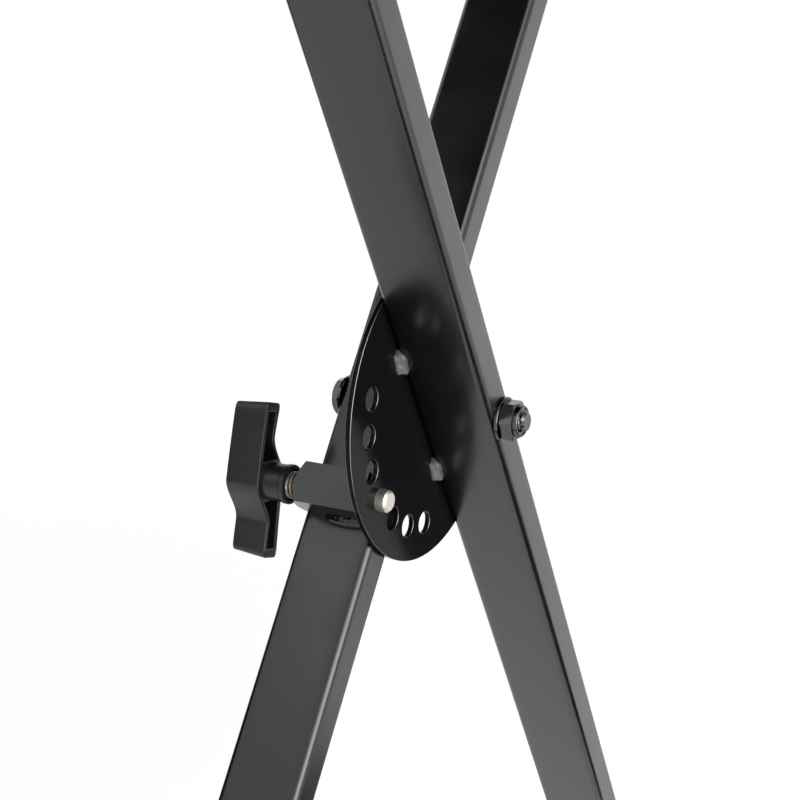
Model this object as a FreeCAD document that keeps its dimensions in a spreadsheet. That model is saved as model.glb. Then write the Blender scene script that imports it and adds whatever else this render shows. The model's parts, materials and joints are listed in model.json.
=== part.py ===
"""Folding single-X keyboard stand with a half-moon index disc and a screw lock.

Frame: +Z up, millimetres, origin on the floor under the pivot. The X of the legs lies in the XZ
plane and the pivot axis runs along Y, with the nut on the -Y side. The front leg carries the
index disc and leans to -X; the rear leg carries the lock and leans to +X.
"""
import FreeCAD, Part
import os

doc = FreeCAD.newDocument("keyboard_stand")
sheet = doc.addObject("Spreadsheet::Sheet", "Sizes")

SIZES = {
    # Legs
    "tube_depth": 30,
    "tube_width": 15,
    "tube_wall": 1.5,
    "tube_radius": 2.5,
    "leg_gap": 2.5,
    "lean_angle": 32.8,
    "leg_reach": 480,
    # Foot bars and top arms
    "bar_width": 40,
    "bar_height": 20,
    "bar_wall": 1.5,
    "bar_radius": 2.5,
    "foot_length": 420,
    "arm_length": 340,
    "cap_wall": 2.5,
    "cap_cover": 42,
    "sole_thick": 4,
    "lip_height": 16,
    "lip_thick": 9,
    "pad_length": 80,
    "pad_width": 30,
    "pad_thick": 3,
    "pad_gap": 2,
    "weld_leg": 4,
    "weld_toe": 0.6,
    # Pivot
    "bolt_diameter": 8,
    "bolt_play": 0.05,
    "bolt_head_flats": 13,
    "bolt_head_height": 5.3,
    "bolt_point": 0.9,
    "bolt_stickout": 1.6,
    "nut_hex_height": 4.8,
    "nut_collar_height": 1.8,
    "nut_collar_diameter": 11.6,
    "washer_diameter": 16,
    "washer_thick": 1.2,
    "thrust_diameter": 22,
    "bush_wall": 2,
    # Index disc
    "disc_radius": 56.2,
    "disc_thick": 2,
    "hole_margin": 12.85,
    "hole_diameter": 8.6,
    "pitch_angle": 17.4,
    "tack_length": 4,
    "tack_radius": 4,
    "tack_high": 30,
    "tack_low": -24,
    # Lock
    "sleeve_size": 15,
    "sleeve_length": 28,
    "sleeve_clear": 1.25,
    "sleeve_turned": 2.3,
    "bead_radius": 3.2,
    "bead_length": 12,
    "screw_diameter": 10,
    "screw_play": 0.05,
    "tip_diameter": 8,
    "tip_reach": 4,
    "tip_chamfer": 0.8,
    "thread_shown": 4.6,
    "knob_length": 56,
    "knob_hub_width": 18,
    "knob_hub_diameter": 17.2,
    "knob_tip_width": 8.5,
    "knob_depth": 14.3,
    "knob_bow": 0.6,
    "knob_boss_diameter": 14.5,
    "knob_boss_length": 9.3,
    "knob_wall": 1.8,
    "knob_end_wall": 2.6,
    "tilt_angle": 3,
}
for row, (alias, value) in enumerate(SIZES.items(), start=1):
    sheet.set(f"A{row}", alias)
    sheet.set(f"B{row}", str(value))
    sheet.setAlias(f"B{row}", alias)
doc.recompute()

X_AXIS = FreeCAD.Vector(1, 0, 0)
Y_AXIS = FreeCAD.Vector(0, 1, 0)
Z_AXIS = FreeCAD.Vector(0, 0, 1)
ALONG_Y = FreeCAD.Rotation(X_AXIS, -90)
ALONG_X = FreeCAD.Rotation(Y_AXIS, 90)
UPRIGHT = FreeCAD.Rotation()
PARALLEL = 1e-6
INDEX_HOLES = 7

# Sizes that follow from the sheet, as expressions
LEAN = "(Sizes.lean_angle * 1 deg)"
FOOT_TOP = "(Sizes.sole_thick + Sizes.bar_height)"
LEG_RISE = f"(Sizes.leg_reach * cos({LEAN}))"
LEG_RUN = f"(Sizes.leg_reach * sin({LEAN}))"
PIVOT_Z = f"({FOOT_TOP} + {LEG_RISE})"
ARM_BASE = f"({PIVOT_Z} + {LEG_RISE})"
INNER_FACE = "(Sizes.leg_gap / 2)"
OUTER_FACE = "(Sizes.leg_gap / 2 + Sizes.tube_depth)"
LEG_MIDDLE = {
    "front": "(-Sizes.leg_gap / 2 - Sizes.tube_depth / 2)",
    "rear": "(Sizes.leg_gap / 2 + Sizes.tube_depth / 2)",
}
LEAN_SIGN = {"front": -1, "rear": 1}
LEG_BLANK = "(2.2 * Sizes.leg_reach)"
CUT_HALF_WIDTH = f"(Sizes.tube_width / cos({LEAN}) / 2)"
DISC_BACK = f"(Sizes.disc_thick - {INNER_FACE})"
HOLE_CIRCLE = "(Sizes.disc_radius - Sizes.hole_margin)"
PIN_OFFSET = "((Sizes.tube_width + Sizes.sleeve_size) / 2)"
PIN_DROP = f"sqrt({HOLE_CIRCLE} ^ 2 - {PIN_OFFSET} ^ 2)"
PIN_ANGLE = f"asin({PIN_OFFSET} / {HOLE_CIRCLE})"
FIRST_HOLE = f"(2 * {LEAN} + {PIN_ANGLE} - {(INDEX_HOLES - 1) / 2} * Sizes.pitch_angle * 1 deg)"
SLEEVE_START = f"({DISC_BACK} + Sizes.sleeve_clear)"
SLEEVE_END = f"({SLEEVE_START} + Sizes.sleeve_length)"
BOSS_START = f"({SLEEVE_END} + Sizes.thread_shown)"
HUB_START = f"({BOSS_START} + Sizes.knob_boss_length)"
SLEEVE_DIAGONAL = "(Sizes.sleeve_size * sqrt(2))"
SCREW_BORE = "(Sizes.screw_diameter + 2 * Sizes.screw_play)"
PIN_X = f"(-{PIN_OFFSET} * cos({LEAN}) - {PIN_DROP} * sin({LEAN}))"
PIN_Z = f"({PIVOT_Z} + {PIN_OFFSET} * sin({LEAN}) - {PIN_DROP} * cos({LEAN}))"
BOLT_BORE = "(Sizes.bolt_diameter + 2 * Sizes.bolt_play)"
BUSH_DIAMETER = f"({BOLT_BORE} + 2 * Sizes.bush_wall)"
PAD_PLACE = "(Sizes.arm_length / 2 + Sizes.cap_wall - Sizes.cap_cover - Sizes.pad_gap - Sizes.pad_length / 2)"
KNOB_BOW_RADIUS = "((Sizes.knob_length ^ 2 / 4 + Sizes.knob_bow ^ 2) / (2 * Sizes.knob_bow))"

nodes = []


def node(name, thing):
    """Names a finished piece and puts it on the list of pieces to write."""
    thing.Label = name
    nodes.append(thing)
    return thing


def bind(thing, **expressions):
    """Binds properties to expressions of the sheet."""
    for name, expression in expressions.items():
        thing.setExpression(name, expression)
    return thing


def place(thing, x, y, z, turn=UPRIGHT):
    """Places an object, each coordinate an expression of the sheet."""
    thing.Placement = FreeCAD.Placement(FreeCAD.Vector(), turn)
    for axis, expression in zip("xyz", (x, y, z)):
        thing.setExpression(f"Placement.Base.{axis}", expression)
    return thing


def turn_about_y(thing, angle):
    """Binds an object's turn about the Y direction, an expression of the sheet."""
    thing.Placement = FreeCAD.Placement(FreeCAD.Vector(), FreeCAD.Rotation(Y_AXIS, 1))
    thing.setExpression("Placement.Rotation.Angle", angle)
    return thing


def lean_about_pivot(thing, leg):
    """Turns a piece that is drawn upright, with the pivot at its origin, to the lean of its leg."""
    turn_about_y(thing, f"{LEAN_SIGN[leg]} * Sizes.lean_angle")
    thing.setExpression("Placement.Base.z", PIVOT_Z)
    return thing


def body(name):
    """A new empty body."""
    return doc.addObject("PartDesign::Body", name)


def block(owner, name, size, middle, cut=False):
    """Adds a block to a body, or cuts it out, from the expressions of its size and its middle."""
    feature = owner.newObject("PartDesign::SubtractiveBox" if cut else "PartDesign::AdditiveBox", name)
    bind(feature, Length=size[0], Width=size[1], Height=size[2])
    corner = [f"{centre} - ({extent}) / 2" for centre, extent in zip(middle, size)]
    return place(feature, *corner)


def rod(owner, name, diameter, start, length, x="0", z="0", cut=False):
    """Adds or cuts a cylinder along Y."""
    kind = "PartDesign::SubtractiveCylinder" if cut else "PartDesign::AdditiveCylinder"
    feature = owner.newObject(kind, name)
    bind(feature, Radius=f"({diameter}) / 2", Height=length)
    return place(feature, x, start, z, ALONG_Y)


def taper(owner, name, diameters, start, length, x="0", z="0"):
    """Adds a truncated cone along Y, from the first diameter to the second."""
    feature = owner.newObject("PartDesign::AdditiveCone", name)
    bind(feature, Radius1=f"({diameters[0]}) / 2", Radius2=f"({diameters[1]}) / 2", Height=length)
    return place(feature, x, start, z, ALONG_Y)


def hexagon(owner, name, flats, start, length):
    """Adds a hexagonal prism along Y."""
    feature = owner.newObject("PartDesign::AdditivePrism", name)
    feature.Polygon = 6
    bind(feature, Circumradius=f"({flats}) / sqrt(3)", Height=length)
    return place(feature, "0", start, "0", ALONG_Y)


def ball(owner, name, radius, middle):
    """Adds a ball to a body."""
    feature = owner.newObject("PartDesign::AdditiveSphere", name)
    bind(feature, Radius=radius)
    return place(feature, *middle)


def round_edges(owner, base, radius, along):
    """Rounds the edges of a block that run along one direction."""
    doc.recompute()
    names = []
    for index, edge in enumerate(base.Shape.Edges, start=1):
        direction = edge.tangentAt(edge.FirstParameter)
        if abs(abs(direction.dot(along)) - 1) < PARALLEL:
            names.append(f"Edge{index}")
    fillet = owner.newObject("PartDesign::Fillet", base.Name + "_round")
    fillet.Base = (base, names)
    return bind(fillet, Radius=radius)


def combined(kind, name, base, tool):
    """A Part boolean of two objects."""
    result = doc.addObject(kind, name)
    result.Base = base
    result.Tool = tool
    return result


def fused(name, *things):
    """One solid from several objects."""
    result = doc.addObject("Part::MultiFuse", name)
    result.Shapes = list(things)
    return result


def wedge(name, bottom, top, depth, height):
    """A block that tapers over its height; bottom and top are its low and high side there."""
    result = doc.addObject("Part::Wedge", name)
    bind(result, Xmin=bottom[0], Xmax=bottom[1], X2min=top[0], X2max=top[1])
    bind(result, Zmin=depth[0], Zmax=depth[1], Z2min=depth[0], Z2max=depth[1])
    return bind(result, Ymin=height[0], Ymax=height[1])


def solid_bar(name, size, middle, radius, along):
    """A solid bar with round edges, as the space that a tube or a leg takes."""
    owner = body(name)
    round_edges(owner, block(owner, name + "_block", size, middle), radius, along)
    return owner


def tube(name, size, middle, wall, radius, along):
    """A tube with round edges that is open at both ends."""
    owner = solid_bar(name, size, middle, radius, along)
    bore = []
    for extent, lengthwise in zip(size, along):
        bore.append(f"2 * {extent}" if lengthwise else f"{extent} - 2 * {wall}")
    block(owner, name + "_bore", bore, middle, cut=True)
    return owner


def leg_space(leg):
    """The solid space of an upright leg, longer than the finished leg."""
    size = ("Sizes.tube_width", "Sizes.tube_depth", LEG_BLANK)
    space = solid_bar(f"{leg}_leg_space", size, ("0", LEG_MIDDLE[leg], "0"), "Sizes.tube_radius", Z_AXIS)
    return lean_about_pivot(space, leg)


def leg_tube(leg):
    """The leg: a tube with a hole for the bush, cut level where it meets the foot bar and the arm."""
    name = f"{leg}_leg_tube"
    size = ("Sizes.tube_width", "Sizes.tube_depth", LEG_BLANK)
    blank = tube(name + "_blank", size, ("0", LEG_MIDDLE[leg], "0"), "Sizes.tube_wall", "Sizes.tube_radius",
                 Z_AXIS)
    rod(blank, name + "_hole", BUSH_DIAMETER, f"{LEG_MIDDLE[leg]} - Sizes.tube_depth", "2 * Sizes.tube_depth",
        cut=True)
    lean_about_pivot(blank, leg)
    slab = doc.addObject("Part::Box", name + "_slab")
    bind(slab, Length=f"4 * {LEG_RUN}", Width="8 * Sizes.tube_depth", Height=f"2 * {LEG_RISE}")
    place(slab, f"-2 * {LEG_RUN}", "-4 * Sizes.tube_depth", FOOT_TOP)
    node(name, combined("Part::Common", name, blank, slab))


def pivot_bush(leg):
    """The steel bush that keeps the hollow leg from being crushed by the bolt."""
    name = f"{leg}_pivot_bush"
    owner = body(name)
    start = f"{LEG_MIDDLE[leg]} - Sizes.tube_depth / 2"
    rod(owner, name + "_wall", BUSH_DIAMETER, start, "Sizes.tube_depth", z=PIVOT_Z)
    rod(owner, name + "_bore", BOLT_BORE, start, "Sizes.tube_depth", z=PIVOT_Z, cut=True)
    node(name, owner)


def end_weld(leg, place_name, space, x, z, rises):
    """The bead round a leg end, drawn as a sloped collar with the leg's space cut out."""
    name = f"{leg}_{place_name}_weld"
    collar = doc.addObject("Part::Wedge", name + "_collar")
    slide = f"({rises} * {LEAN_SIGN[leg]} * Sizes.weld_leg * tan({LEAN}))"
    bind(collar, Xmin=f"-{CUT_HALF_WIDTH} - Sizes.weld_leg", Xmax=f"{CUT_HALF_WIDTH} + Sizes.weld_leg")
    bind(collar, Zmin="-Sizes.tube_depth / 2 - Sizes.weld_leg", Zmax="Sizes.tube_depth / 2 + Sizes.weld_leg")
    bind(collar, X2min=f"{slide} - {CUT_HALF_WIDTH} - Sizes.weld_toe")
    bind(collar, X2max=f"{slide} + {CUT_HALF_WIDTH} + Sizes.weld_toe")
    bind(collar, Z2min="-Sizes.tube_depth / 2 - Sizes.weld_toe")
    bind(collar, Z2max="Sizes.tube_depth / 2 + Sizes.weld_toe")
    bind(collar, Ymin="0", Ymax="Sizes.weld_leg")
    place(collar, x, LEG_MIDDLE[leg], z, FreeCAD.Rotation(X_AXIS, rises * 90))
    node(name, combined("Part::Cut", name, collar, space))


def end_cap(name, bar_space, length, x, base_z, side, sole, lip=False):
    """A moulded cap that covers one end of a bar, with a thicker sole or a raised lip."""
    owner = body(name + "_shell")
    height = f"({sole} + Sizes.bar_height + Sizes.cap_wall)"
    outer_end = f"({length} / 2 + Sizes.cap_wall)"
    middle_y = f"{side} * ({outer_end} - Sizes.cap_cover / 2)"
    size = ("Sizes.bar_width + 2 * Sizes.cap_wall", "Sizes.cap_cover", height)
    shell = block(owner, name + "_block", size, (x, middle_y, f"{base_z} - {sole} + {height} / 2"))
    round_edges(owner, shell, "Sizes.bar_radius + Sizes.cap_wall / 2", Y_AXIS)
    if lip:
        lip_size = ("Sizes.pad_width", "Sizes.lip_thick", "2 * Sizes.lip_height")
        lip_middle = (x, f"{side} * ({outer_end} - Sizes.lip_thick / 2)", f"{base_z} + Sizes.bar_height")
        block(owner, name + "_lip", lip_size, lip_middle)
    node(name, combined("Part::Cut", name, owner, bar_space))


def cross_bar(leg, kind, length, x, base_z, sole):
    """A foot bar or a top arm along Y, with a cap on each end."""
    name = f"{leg}_{kind}"
    size = ("Sizes.bar_width", length, "Sizes.bar_height")
    middle = (x, "0", f"{base_z} + Sizes.bar_height / 2")
    node(name, tube(name, size, middle, "Sizes.bar_wall", "Sizes.bar_radius", Y_AXIS))
    for side_name, side in (("near", -1), ("far", 1)):
        space = solid_bar(f"{name}_{side_name}_space", size, middle, "Sizes.bar_radius", Y_AXIS)
        has_lip = kind == "top_arm" and side_name == "near"
        end_cap(f"{name}_{side_name}_cap", space, length, x, base_z, side, sole, has_lip)


def rest_pad(leg, x, side_name, side):
    """A rubber pad on top of an arm, where the keyboard lies."""
    name = f"{leg}_rest_pad_{side_name}"
    owner = body(name)
    size = ("Sizes.pad_width", "Sizes.pad_length", "Sizes.pad_thick")
    middle = (x, f"{side} * {PAD_PLACE}", f"{ARM_BASE} + Sizes.bar_height + Sizes.pad_thick / 2")
    round_edges(owner, block(owner, name + "_block", size, middle), "2 * Sizes.pad_thick", Z_AXIS)
    node(name, owner)


def leg_frame(leg):
    """One leg with its foot bar, top arm, welds, caps and pads; returns the leg's solid space."""
    space = leg_space(leg)
    foot_x = f"(-{LEAN_SIGN[leg]} * {LEG_RUN})"
    arm_x = f"({LEAN_SIGN[leg]} * {LEG_RUN})"
    leg_tube(leg)
    pivot_bush(leg)
    end_weld(leg, "foot", space, foot_x, FOOT_TOP, 1)
    end_weld(leg, "arm", space, arm_x, ARM_BASE, -1)
    cross_bar(leg, "foot_bar", "Sizes.foot_length", foot_x, "Sizes.sole_thick", "Sizes.sole_thick")
    cross_bar(leg, "top_arm", "Sizes.arm_length", arm_x, ARM_BASE, "Sizes.cap_wall")
    rest_pad(leg, arm_x, "near", -1)
    rest_pad(leg, arm_x, "far", 1)
    return space


def index_disc():
    """The half-moon plate on the front leg: a row of index holes round the pivot."""
    plate = body("index_disc")
    rod(plate, "disc_blank", "2 * Sizes.disc_radius", f"-{INNER_FACE}", "Sizes.disc_thick")
    size = ("2 * Sizes.disc_radius", "4 * Sizes.disc_thick", "4 * Sizes.disc_radius")
    block(plate, "disc_straight_edge", size, ("Sizes.tube_width / 2 + Sizes.disc_radius", "0", "0"), cut=True)
    rod(plate, "disc_pivot_hole", BOLT_BORE, "-2 * Sizes.disc_thick", "4 * Sizes.disc_thick", cut=True)
    hole_x = f"-{HOLE_CIRCLE} * sin({FIRST_HOLE})"
    hole_z = f"-{HOLE_CIRCLE} * cos({FIRST_HOLE})"
    hole = rod(plate, "disc_index_hole", "Sizes.hole_diameter", "-2 * Sizes.disc_thick",
               "4 * Sizes.disc_thick", hole_x, hole_z, cut=True)
    doc.recompute()
    pattern = plate.newObject("PartDesign::PolarPattern", "disc_index_holes")
    pattern.Originals = [hole]
    pivot_axis = [plane for plane in plate.Origin.OriginFeatures if plane.Role == "Y_Axis"][0]
    pattern.Axis = (pivot_axis, [""])
    pattern.Occurrences = INDEX_HOLES
    bind(pattern, Angle=f"{INDEX_HOLES - 1} * Sizes.pitch_angle")
    plate.Tip = pattern
    node("index_disc", lean_about_pivot(plate, "front"))


def disc_tack(level, height, space):
    """A tack weld in the corner of the disc and the front leg."""
    name = f"disc_tack_{level}"
    owner = body(name + "_bead")
    corner = ("-Sizes.tube_width / 2", f"-{INNER_FACE}")
    for end in (-1, 1):
        middle = (*corner, f"{height} + {end} * Sizes.tack_length / 2")
        ball(owner, f"{name}_end{end + 1}", "Sizes.tack_radius", middle)
    size = ("4 * Sizes.tack_radius", "2 * Sizes.tack_radius", "4 * Sizes.tack_radius + Sizes.tack_length")
    block(owner, name + "_disc_side", size, (corner[0], f"{corner[1]} + Sizes.tack_radius", height), cut=True)
    lean_about_pivot(owner, "front")
    node(name, combined("Part::Cut", name, owner, space))


def pivot():
    """The bolt through both legs, its nut with a nylon collar, and the washers."""
    bolt = body("pivot_bolt")
    head_seat = f"({OUTER_FACE} + Sizes.washer_thick)"
    nut_end = f"({head_seat} + Sizes.nut_hex_height + Sizes.nut_collar_height)"
    bolt_end = f"({nut_end} + Sizes.bolt_stickout)"
    shank_start = f"(Sizes.bolt_point - {bolt_end})"
    rod(bolt, "bolt_shank", "Sizes.bolt_diameter", shank_start, f"{head_seat} - {shank_start}")
    taper(bolt, "bolt_point_cone", ("Sizes.bolt_diameter - 2 * Sizes.bolt_point", "Sizes.bolt_diameter"),
          f"-{bolt_end}", "Sizes.bolt_point")
    hexagon(bolt, "bolt_head", "Sizes.bolt_head_flats", head_seat, "Sizes.bolt_head_height")
    node("pivot_bolt", place(bolt, "0", "0", PIVOT_Z))
    nut = body("pivot_nut")
    hexagon(nut, "nut_hex", "Sizes.bolt_head_flats", f"-{head_seat} - Sizes.nut_hex_height",
            "Sizes.nut_hex_height")
    rod(nut, "nut_collar", "Sizes.nut_collar_diameter", f"-{nut_end}", "Sizes.nut_collar_height")
    rod(nut, "nut_bore", "Sizes.bolt_diameter", f"-{nut_end}", f"{nut_end} - {OUTER_FACE}", cut=True)
    node("pivot_nut", place(nut, "0", "0", PIVOT_Z))
    washer("nut_washer", "Sizes.washer_diameter", f"-{head_seat}", "Sizes.washer_thick")
    washer("head_washer", "Sizes.washer_diameter", OUTER_FACE, "Sizes.washer_thick")
    washer("thrust_washer", "Sizes.thrust_diameter", DISC_BACK, f"{INNER_FACE} - {DISC_BACK}")


def washer(name, diameter, start, thick):
    """A flat washer on the pivot bolt."""
    owner = body(name)
    rod(owner, name + "_ring", diameter, start, thick)
    rod(owner, name + "_bore", BOLT_BORE, start, thick, cut=True)
    node(name, place(owner, "0", "0", PIVOT_Z))


def lock_sleeve():
    """The tapped square bar on the rear leg, with its outer end turned to a cone."""
    axis = {"x": f"-{PIN_OFFSET}", "z": f"-{PIN_DROP}"}
    bar = body("lock_sleeve_bar")
    size = ("Sizes.sleeve_size", "Sizes.sleeve_length", "Sizes.sleeve_size")
    middle = (axis["x"], f"{SLEEVE_START} + Sizes.sleeve_length / 2", axis["z"])
    block(bar, "sleeve_block", size, middle)
    rod(bar, "sleeve_thread", SCREW_BORE, SLEEVE_START, "Sizes.sleeve_length", **axis, cut=True)
    lean_about_pivot(bar, "rear")
    turned = body("lock_sleeve_turned")
    square_length = "(Sizes.sleeve_length - Sizes.sleeve_turned)"
    square_end = f"({SLEEVE_START} + {square_length})"
    rod(turned, "sleeve_round", SLEEVE_DIAGONAL, SLEEVE_START, square_length, **axis)
    cone = (SLEEVE_DIAGONAL, "Sizes.sleeve_size")
    taper(turned, "sleeve_cone", cone, square_end, "Sizes.sleeve_turned", **axis)
    lean_about_pivot(turned, "rear")
    node("lock_sleeve", combined("Part::Common", "lock_sleeve", bar, turned))


def sleeve_weld(level, side):
    """A weld bead in the corner of the lock sleeve and the rear leg."""
    name = f"sleeve_weld_{level}"
    owner = body(name)
    corner_z = f"({side} * Sizes.sleeve_size / 2 - {PIN_DROP})"
    start = f"({INNER_FACE} + Sizes.tube_radius + Sizes.bead_radius)"
    corner_x = "-Sizes.tube_width / 2"
    rod(owner, name + "_run", "2 * Sizes.bead_radius", start, "Sizes.bead_length", corner_x, corner_z)
    for end in (0, 1):
        middle = (corner_x, f"{start} + {end} * Sizes.bead_length", corner_z)
        ball(owner, f"{name}_end{end}", "Sizes.bead_radius", middle)
    whole = "2 * (4 * Sizes.bead_radius + Sizes.bead_length)"
    middle_y = f"{start} + Sizes.bead_length / 2"
    leg_side = ("2 * Sizes.bead_radius", whole, "4 * Sizes.bead_radius")
    leg_middle = (f"Sizes.bead_radius + {corner_x}", middle_y, corner_z)
    block(owner, name + "_leg_side", leg_side, leg_middle, cut=True)
    sleeve_side = ("4 * Sizes.bead_radius", whole, "2 * Sizes.bead_radius")
    sleeve_middle = (corner_x, middle_y, f"{corner_z} - {side} * Sizes.bead_radius")
    block(owner, name + "_sleeve_side", sleeve_side, sleeve_middle, cut=True)
    node(name, lean_about_pivot(owner, "rear"))


def lock_screw():
    """The plated screw: a plain tip for the disc, the thread, and a stud inside the knob."""
    screw = body("lock_screw")
    tip_end = f"(-{INNER_FACE} - Sizes.tip_reach)"
    thread_start = f"({SLEEVE_START} + Sizes.tip_chamfer)"
    tip_start = f"({tip_end} + Sizes.tip_chamfer)"
    chamfer = ("Sizes.tip_diameter - 2 * Sizes.tip_chamfer", "Sizes.tip_diameter")
    taper(screw, "screw_chamfer", chamfer, tip_end, "Sizes.tip_chamfer")
    rod(screw, "screw_tip", "Sizes.tip_diameter", tip_start, f"{thread_start} - {tip_start}")
    thread_length = f"{BOSS_START} - {thread_start}"
    rod(screw, "screw_thread", "Sizes.screw_diameter", thread_start, thread_length)
    rod(screw, "screw_stud", "Sizes.tip_diameter", BOSS_START, "Sizes.knob_boss_length")
    node("lock_screw", place(screw, PIN_X, "0", PIN_Z))


def knob_arms(name, inset, reach, middle_y):
    """The arms of the knob, or the pockets in them: one flank of each tapers, the other is straight."""
    hub = f"(Sizes.knob_hub_width / 2 - {inset})"
    tip = f"(Sizes.knob_tip_width / 2 - {inset})"
    depth = ("-Sizes.knob_depth", "Sizes.knob_depth")
    flanks = {1: (f"-{hub}", tip), -1: (f"-{tip}", hub)}
    arms = []
    for direction, bottom in flanks.items():
        arm = wedge(f"{name}_{direction + 1}", bottom, (f"-{tip}", tip), depth, reach)
        arms.append(place(arm, "0", middle_y, "0", FreeCAD.Rotation(X_AXIS, direction * 90)))
    return arms


def cylinder(name, diameter, length, start, turn):
    """A plain cylinder, placed by the expressions of its start."""
    result = doc.addObject("Part::Cylinder", name)
    bind(result, Radius=f"({diameter}) / 2", Height=length)
    return place(result, *start, turn)


def t_knob():
    """The moulded knob: a boss and two bowed arms that are hollow on the side of the sleeve."""
    hub_middle = f"({HUB_START} + Sizes.knob_depth / 2)"
    arms = knob_arms("knob_arm", "0", ("0", "Sizes.knob_length / 2"), hub_middle)
    hub_start = ("0", f"{HUB_START} - Sizes.knob_bow", "0")
    hub = cylinder("knob_hub", "Sizes.knob_hub_diameter", "2 * Sizes.knob_depth", hub_start, ALONG_Y)
    blank = fused("knob_blank", hub, *arms)
    bow_start = ("-Sizes.knob_hub_width", f"{HUB_START} - {KNOB_BOW_RADIUS}", "0")
    bow_length = "2 * Sizes.knob_hub_width"
    inner_diameter = f"2 * {KNOB_BOW_RADIUS}"
    outer_diameter = f"2 * ({KNOB_BOW_RADIUS} + Sizes.knob_depth)"
    inner_bow = cylinder("knob_inner_bow", inner_diameter, bow_length, bow_start, ALONG_X)
    outer_bow = cylinder("knob_outer_bow", outer_diameter, bow_length, bow_start, ALONG_X)
    trimmed = combined("Part::Cut", "knob_trimmed", blank, inner_bow)
    bowed = combined("Part::Common", "knob_bowed", trimmed, outer_bow)
    start = ("0", BOSS_START, "0")
    boss = cylinder("knob_boss", "Sizes.knob_boss_diameter", f"{hub_middle} - {BOSS_START}", start, ALONG_Y)
    pocket_start = "Sizes.knob_boss_diameter / 2 + Sizes.knob_wall"
    pocket_reach = (pocket_start, "Sizes.knob_length / 2 - Sizes.knob_end_wall")
    pocket_middle = f"({HUB_START} - Sizes.knob_bow - Sizes.knob_wall)"
    pockets = knob_arms("knob_pocket", "Sizes.knob_wall", pocket_reach, pocket_middle)
    bore_length = "Sizes.knob_boss_length + Sizes.screw_play"
    bore = cylinder("knob_bore", "Sizes.tip_diameter + 2 * Sizes.screw_play", bore_length, start, ALONG_Y)
    solid = fused("knob_solid", bowed, boss)
    knob = combined("Part::Cut", "t_knob", solid, fused("knob_space", bore, *pockets))
    turn_about_y(knob, "Sizes.tilt_angle")
    knob.setExpression("Placement.Base.x", PIN_X)
    knob.setExpression("Placement.Base.z", PIN_Z)
    node("t_knob", knob)


def write_parts():
    """Checks every object and writes each piece to its own file."""
    doc.recompute()
    for thing in doc.Objects:
        if "Invalid" in thing.State or "Error" in thing.State:
            raise RuntimeError(f"{thing.Label} did not build: {thing.State}")
    for piece in nodes:
        if piece.Shape.isNull() or not piece.Shape.isValid():
            raise RuntimeError(f"{piece.Label} has no valid shape")
    os.makedirs("parts", exist_ok=True)
    for piece in nodes:
        piece.Shape.exportStep(f"parts/{piece.Label}.step")


front_space = leg_frame("front")
leg_frame("rear")
index_disc()
disc_tack("upper", "Sizes.tack_high", front_space)
disc_tack("lower", "Sizes.tack_low", front_space)
pivot()
lock_sleeve()
sleeve_weld("upper", 1)
sleeve_weld("lower", -1)
lock_screw()
t_knob()
write_parts()
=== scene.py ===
"""Visual model of a folding keyboard stand, laid over its CAD frame."""

import json
from math import asin, cos, pi, radians, sin, sqrt, tan, tau

import bpy
from bpy.props import FloatProperty, FloatVectorProperty, IntProperty, PointerProperty
from mathutils import Matrix, Vector


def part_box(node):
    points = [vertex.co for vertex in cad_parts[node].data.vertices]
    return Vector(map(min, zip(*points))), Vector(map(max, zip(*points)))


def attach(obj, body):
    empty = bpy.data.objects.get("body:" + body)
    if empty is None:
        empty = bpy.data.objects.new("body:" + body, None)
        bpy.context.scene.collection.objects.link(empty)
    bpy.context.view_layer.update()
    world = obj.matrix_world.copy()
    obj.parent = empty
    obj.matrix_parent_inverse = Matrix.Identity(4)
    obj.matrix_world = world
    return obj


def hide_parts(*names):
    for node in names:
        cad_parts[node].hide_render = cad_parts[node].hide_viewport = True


bl_info = {
    "name": "Keyboard stand",
    "version": (1, 0, 0),
    "blender": (4, 5, 0),
    "location": "View3D > Sidebar > Stand",
    "description": "Builds the folding keyboard stand piece by piece over its CAD frame",
    "category": "Object",
}

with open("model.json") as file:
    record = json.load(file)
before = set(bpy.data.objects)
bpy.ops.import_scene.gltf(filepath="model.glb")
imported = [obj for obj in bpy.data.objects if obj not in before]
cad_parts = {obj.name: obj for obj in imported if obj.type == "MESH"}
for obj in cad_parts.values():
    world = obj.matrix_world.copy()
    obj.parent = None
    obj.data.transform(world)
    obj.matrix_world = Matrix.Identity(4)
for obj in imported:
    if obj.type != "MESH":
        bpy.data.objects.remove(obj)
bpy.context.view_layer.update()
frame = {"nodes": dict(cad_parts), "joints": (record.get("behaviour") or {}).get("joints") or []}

MM = 0.001
JOINTS = {joint["name"]: joint for joint in frame["joints"]}
PIVOT = Vector(JOINTS["fold"]["pos_m"])
PIN = Vector(JOINTS["knob_turn"]["pos_m"])
LEAN_SIGN = {"front": -1, "rear": 1}
LEGS = ("front", "rear")
BAR_KINDS = ("foot_bar", "top_arm")
SIDES = 96            # Points round a turned piece
TOUCH = 1e-6          # Two points nearer than this are one
ALIGNED = 0.999       # Two directions whose product is above this are the same
ROWS_PER_PITCH = 10   # Rows of points along one turn of a thread
FLANK = 1.25          # Flanks steeper than 1 leave a flat root in a thread
UP = Vector((0, 0, 1))
PIVOT_AXIS = Vector((0, 1, 0))


def sized(name, millimetres, description):
    """A length of the model, kept in metres."""
    return FloatProperty(name=name, description=description, default=millimetres * MM, unit="LENGTH",
                         precision=5)


def angle_property(name, degrees, description):
    """An angle of the model."""
    return FloatProperty(name=name, description=description, default=radians(degrees), subtype="ANGLE")


def linear(code):
    """The linear colour of an sRGB code such as 1b1c1e."""
    values = [int(code[start:start + 2], 16) / 255 for start in (0, 2, 4)]
    return tuple(value / 12.92 if value <= 0.04045 else ((value + 0.055) / 1.055) ** 2.4 for value in values)


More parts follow.
